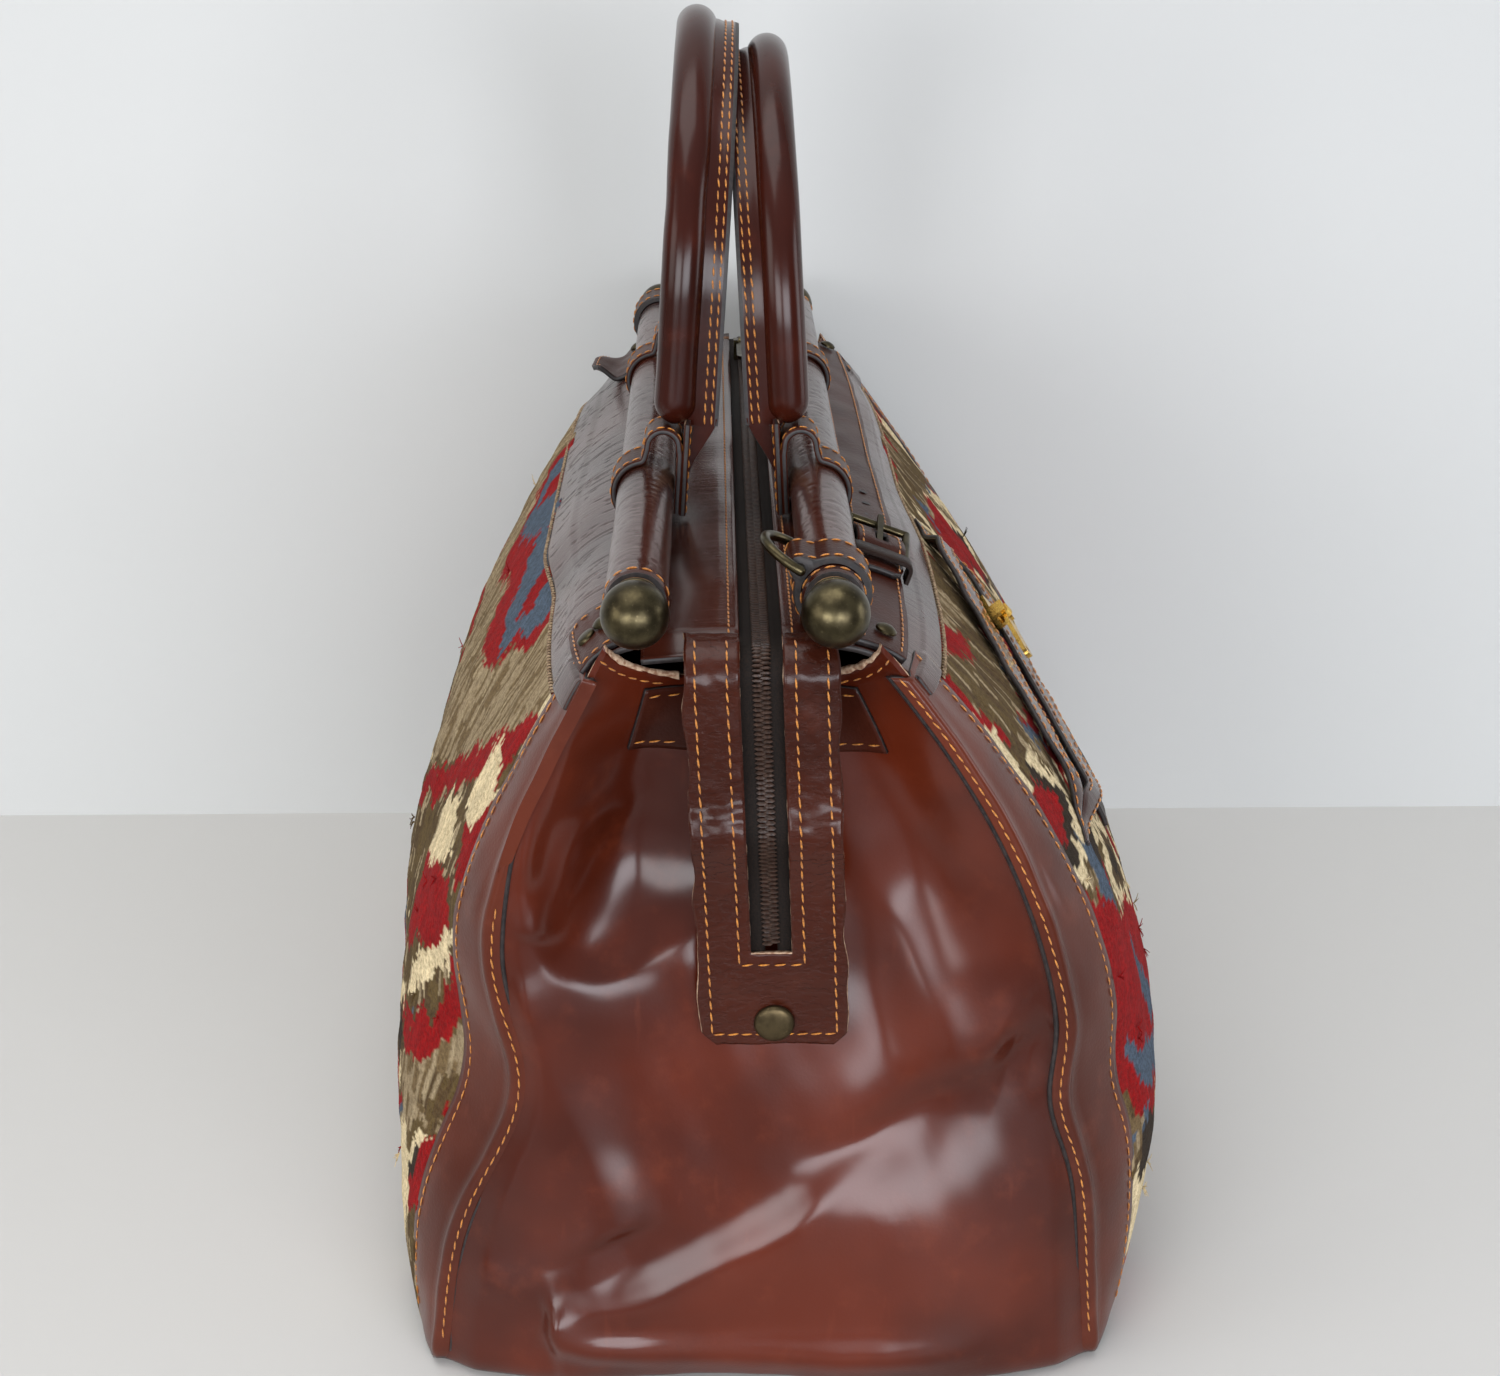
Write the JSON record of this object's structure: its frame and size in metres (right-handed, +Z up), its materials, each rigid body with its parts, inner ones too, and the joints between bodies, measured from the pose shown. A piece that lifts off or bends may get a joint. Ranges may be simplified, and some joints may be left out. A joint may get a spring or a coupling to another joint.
{
  "type": "carpet bag",
  "caption": "Carpet bag with kilim sides, leather ends, zip mouth between covered bars with brass balls, rolled leather handles, strap rings, side belt and slanted zip pocket.",
  "frame": {"origin": "middle of the base between its end seams, on the ground", "axes": "+Y along the bag's length, away from the pictured end; +X across, towards the side with the belt and the pocket; +Z up"},
  "size_m": [0.3217, 0.5314, 0.4935],
  "materials": {
    "kilim": "coarse woven wool",
    "panel_leather": "glossy pulled-up red-brown",
    "yoke_leather": "smooth, satin gloss",
    "handle_leather": "smooth, satin gloss",
    "strap_leather": "satin, dark edges",
    "zip_tape": "woven tape",
    "zip_teeth": "coil",
    "old_brass": "aged, satin",
    "bright_brass": "polished",
    "dowel_wood": "plain",
    "cord_core": "twisted cord",
    "board": "covered board"
  },
  "bodies": {
    "bag": {"left_kilim": "kilim", "right_kilim": "kilim", "near_end": "panel_leather", "far_end": "panel_leather", "base_panel": "panel_leather", "base_board": "board", "left_yoke": "yoke_leather", "right_yoke": "yoke_leather", "left_near_binding": "yoke_leather", "left_far_binding": "yoke_leather", "right_near_binding": "yoke_leather", "right_far_binding": "yoke_leather", "left_placket": "yoke_leather", "right_placket": "yoke_leather", "near_hem_band": "strap_leather", "far_hem_band": "strap_leather", "zip_tape": "zip_tape", "zip_teeth": "zip_teeth", "near_zip_tab": "strap_leather", "far_zip_tab": "strap_leather", "snap_caps": "old_brass", "snap_studs": "old_brass", "left_sleeve": "yoke_leather", "right_sleeve": "yoke_leather", "left_dowel": "dowel_wood", "right_dowel": "dowel_wood", "left_near_ball": "old_brass", "left_far_ball": "old_brass", "right_near_ball": "old_brass", "right_far_ball": "old_brass", "near_ring_loop": "strap_leather", "far_ring_loop": "strap_leather", "left_near_tab": "strap_leather", "left_far_tab": "strap_leather", "corner_rivets": "old_brass", "belt_billet": "strap_leather", "belt_chape": "strap_leather", "belt_keeper": "strap_leather", "buckle_frame": "old_brass", "pocket_welts": "yoke_leather", "pocket_tape": "zip_tape", "pocket_teeth": "zip_teeth", "leather_patch": "strap_leather"},
    "left_handle_body": {"left_handle": "handle_leather", "left_handle_core": "cord_core", "left_near_loop": "strap_leather", "left_far_loop": "strap_leather"},
    "right_handle_body": {"right_handle": "handle_leather", "right_handle_core": "cord_core", "right_near_loop": "strap_leather", "right_far_loop": "strap_leather"},
    "zip_slider_body": {"zip_slider": "old_brass"},
    "zip_pull_body": {"zip_pull": "old_brass"},
    "near_ring_body": {"near_ring": "old_brass"},
    "far_ring_body": {"far_ring": "old_brass"},
    "pocket_slider_body": {"pocket_slider": "bright_brass"},
    "pocket_pull_body": {"pocket_pull": "bright_brass"},
    "prong_body": {"buckle_prong": "old_brass"}
  },
  "joints": [
    {"name": "left_handle_swing", "type": "hinge", "parent": "bag", "child": "left_handle_body", "pos_m": [-0.0455, 0, 0.314], "axis": [0, -1, 0], "range_deg": [0, 115]},
    {"name": "right_handle_swing", "type": "hinge", "parent": "bag", "child": "right_handle_body", "pos_m": [0.0235, 0, 0.314], "axis": [0, 1, 0], "range_deg": [0, 115]},
    {"name": "zip_run", "type": "slide", "parent": "bag", "child": "zip_slider_body", "axis": [0, -1, 0], "range_m": [0, 0.395]},
    {"name": "zip_pull_flip", "type": "hinge", "parent": "zip_slider_body", "child": "zip_pull_body", "pos_m": [-0.002, 0.196, 0.307], "axis": [-1, 0, 0], "range_deg": [0, 150]},
    {"name": "near_ring_swing", "type": "hinge", "parent": "bag", "child": "near_ring_body", "pos_m": [0.01189, -0.222, 0.32374], "axis": [0, 1, 0], "range_deg": [-60, 80]},
    {"name": "far_ring_swing", "type": "hinge", "parent": "bag", "child": "far_ring_body", "pos_m": [-0.03389, 0.222, 0.32374], "axis": [0, -1, 0], "range_deg": [-60, 80]},
    {"name": "pocket_zip_run", "type": "slide", "parent": "bag", "child": "pocket_slider_body", "axis": [0.2751, -0.8896, -0.3647], "range_m": [0, 0.072]},
    {"name": "pocket_pull_flip", "type": "hinge", "parent": "pocket_slider_body", "child": "pocket_pull_body", "pos_m": [0.10338, -0.07964, 0.25416], "axis": [-0.5565, -0.4567, 0.6941], "range_deg": [0, 140]},
    {"name": "prong_lift", "type": "hinge", "parent": "bag", "child": "prong_body", "pos_m": [0.04562, -0.13201, 0.29796], "axis": [0.9373, -0.0076, -0.3485], "range_deg": [0, 60]}
  ]
}
